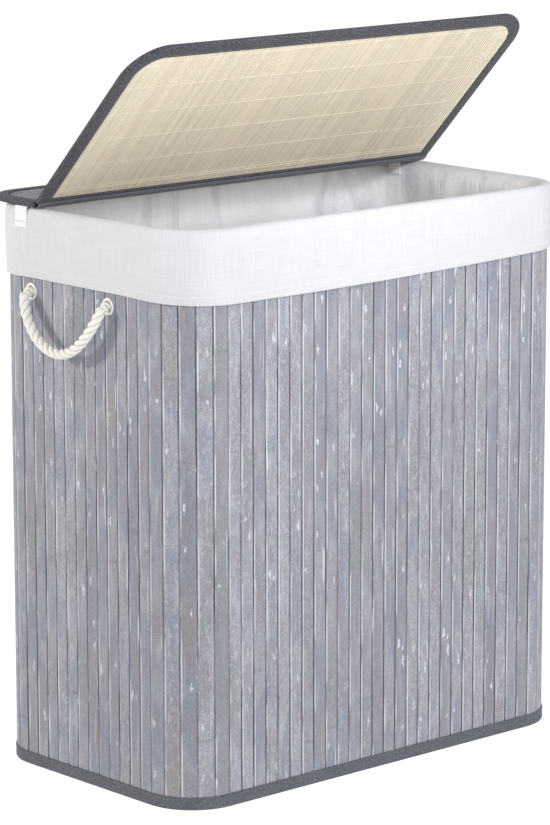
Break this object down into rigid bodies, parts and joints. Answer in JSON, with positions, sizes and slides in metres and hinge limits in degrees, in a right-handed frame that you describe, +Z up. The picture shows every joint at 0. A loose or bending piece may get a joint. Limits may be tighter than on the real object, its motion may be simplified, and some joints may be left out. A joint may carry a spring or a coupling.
{
  "type": "laundry hamper with lid",
  "caption": "Slatted rectangular laundry hamper with round corners, a folding lid, a removable cloth liner with a turned-down cuff, and rope handles.",
  "frame": {"origin": "on the floor under the middle of the basket, the middle of the base's underside", "axes": "+X to the right along the long side, seen from the front; +Y to the rear, where the lid's fixed panel is; +Z up"},
  "size_m": [0.5624, 0.3122, 0.7388],
  "materials": {
    "grey_bamboo": "grey-washed split bamboo, satin",
    "natural_bamboo": "natural split bamboo, satin",
    "board": "plain pressed board, matt",
    "grey_cloth": "non-woven lining cloth, matt",
    "dark_binding": "charcoal woven binding, matt",
    "base_binding": "grey woven binding, matt",
    "white_cotton": "white plain-weave cotton, matt",
    "cotton_rope": "natural twisted cotton, matt",
    "pale_thread": "cotton thread, matt",
    "hook_and_loop": "black hook and loop tape",
    "steel": "plain steel rod",
    "black_plastic": "matt black",
    "eyelet_metal": "light painted eyelet"
  },
  "bodies": {
    "basket": {"wall_lining": "grey_cloth", "front_slats": "grey_bamboo", "rear_slats": "grey_bamboo", "left_slats": "grey_bamboo", "right_slats": "grey_bamboo", "front_left_corner_slats": "grey_bamboo", "front_right_corner_slats": "grey_bamboo", "rear_left_corner_slats": "grey_bamboo", "rear_right_corner_slats": "grey_bamboo", "top_binding": "dark_binding", "bottom_binding": "base_binding", "base_cover": "grey_cloth", "base_patches": "hook_and_loop", "base_board": "board", "front_left_rod": "steel", "front_right_rod": "steel", "rear_left_rod": "steel", "rear_right_rod": "steel", "front_left_rod_sleeve": "grey_cloth", "front_right_rod_sleeve": "grey_cloth", "rear_left_rod_sleeve": "grey_cloth", "rear_right_rod_sleeve": "grey_cloth", "rod_caps": "black_plastic", "left_eyelets": "eyelet_metal", "right_eyelets": "eyelet_metal", "left_rope_knots": "cotton_rope", "right_rope_knots": "cotton_rope"},
    "liner": {"liner_wall": "white_cotton", "liner_bottom": "white_cotton", "liner_cuff": "white_cotton", "liner_hem": "white_cotton"},
    "lid_rear": {"rear_lid_slats": "grey_bamboo", "rear_lid_cloth": "grey_cloth", "rear_lid_mat": "natural_bamboo", "rear_lid_binding": "dark_binding", "left_lid_strap": "white_cotton", "right_lid_strap": "white_cotton", "lid_fold_cloth": "dark_binding"},
    "lid_flap": {"flap_slats": "grey_bamboo", "flap_cloth": "grey_cloth", "flap_mat": "natural_bamboo", "flap_threads": "pale_thread", "flap_binding": "dark_binding"},
    "handle_left": {"left_rope": "cotton_rope"},
    "handle_right": {"right_rope": "cotton_rope"}
  },
  "joints": [
    {"name": "liner_lift", "type": "slide", "parent": "basket", "child": "liner", "axis": [0, 0, 1], "range_m": [0, 0.58]},
    {"name": "lid_lift", "type": "slide", "parent": "liner", "child": "lid_rear", "axis": [0, 0, 1], "range_m": [0, 0.1]},
    {"name": "flap_fold", "type": "hinge", "parent": "lid_rear", "child": "lid_flap", "pos_m": [0, 0.07, 0.5748], "axis": [-1, 0, 0], "range_deg": [-46, 128]},
    {"name": "left_handle_swing", "type": "hinge", "parent": "basket", "child": "handle_left", "pos_m": [-0.2675, 0.022, 0.485], "axis": [0, 1, 0], "range_deg": [0, 130]},
    {"name": "right_handle_swing", "type": "hinge", "parent": "basket", "child": "handle_right", "pos_m": [0.2675, 0.022, 0.485], "axis": [0, -1, 0], "range_deg": [0, 130]}
  ]
}
